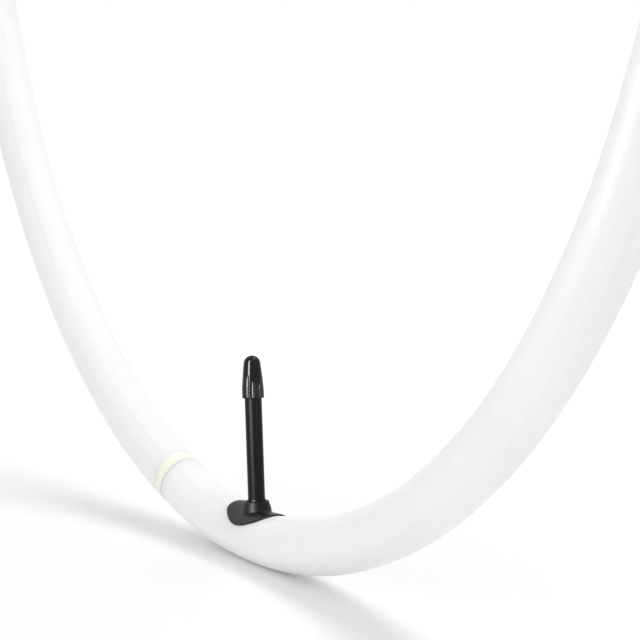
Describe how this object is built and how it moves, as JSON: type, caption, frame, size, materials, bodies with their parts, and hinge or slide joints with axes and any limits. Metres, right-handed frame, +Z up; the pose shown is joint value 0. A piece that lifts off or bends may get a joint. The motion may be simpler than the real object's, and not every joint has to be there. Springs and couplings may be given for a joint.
{
  "type": "inner tube",
  "caption": "Clear film inner tube for a road wheel, lightly inflated into a ring, with a smooth black Presta valve on a moulded base and a ribbed screw cap.",
  "frame": {"origin": "centre of the ring", "axes": "+Y along the wheel's axis, +Z up; the valve is at the bottom of the ring and points along +Z to the centre; the splice is on the -X side"},
  "size_m": [0.6379, 0.0206, 0.638],
  "materials": {
    "film": "clear white polyurethane film, smooth with a soft sheen",
    "weld": "pale yellow-green weld line",
    "base": "moulded soft polyurethane, satin black",
    "stem": "moulded hard polyurethane, satin black",
    "brass": "turned brass",
    "gasket": "white sealing ring",
    "seal": "black rubber",
    "cap": "smoke-black gloss plastic, slightly see-through at the tip"
  },
  "bodies": {
    "tube": {"air_tube": "film", "splice_weld": "weld", "valve_base": "base", "valve_stem": "stem", "thread_insert": "brass", "core_body": "brass", "core_gasket": "gasket"},
    "cap": {"valve_cap": "cap"},
    "nut": {"lock_nut": "brass"},
    "pin": {"core_pin": "brass", "pin_seal": "seal"}
  },
  "joints": [
    {"name": "cap_lift", "type": "slide", "parent": "tube", "child": "cap", "axis": [0, 0, 1], "range_m": [0, 0.04]},
    {"name": "nut_turn", "type": "hinge", "parent": "tube", "child": "nut", "pos_m": [0, 0, -0.2525], "axis": [0, 0, 1], "range_deg": [0, 1080]},
    {"name": "pin_slide", "type": "slide", "parent": "tube", "child": "pin", "axis": [0, 0, -1], "range_m": [0, 0.0015]}
  ],
  "couplings": [
    {"joint": "nut_turn", "follows": "pin_slide", "rad_per_m": 12566}
  ]
}
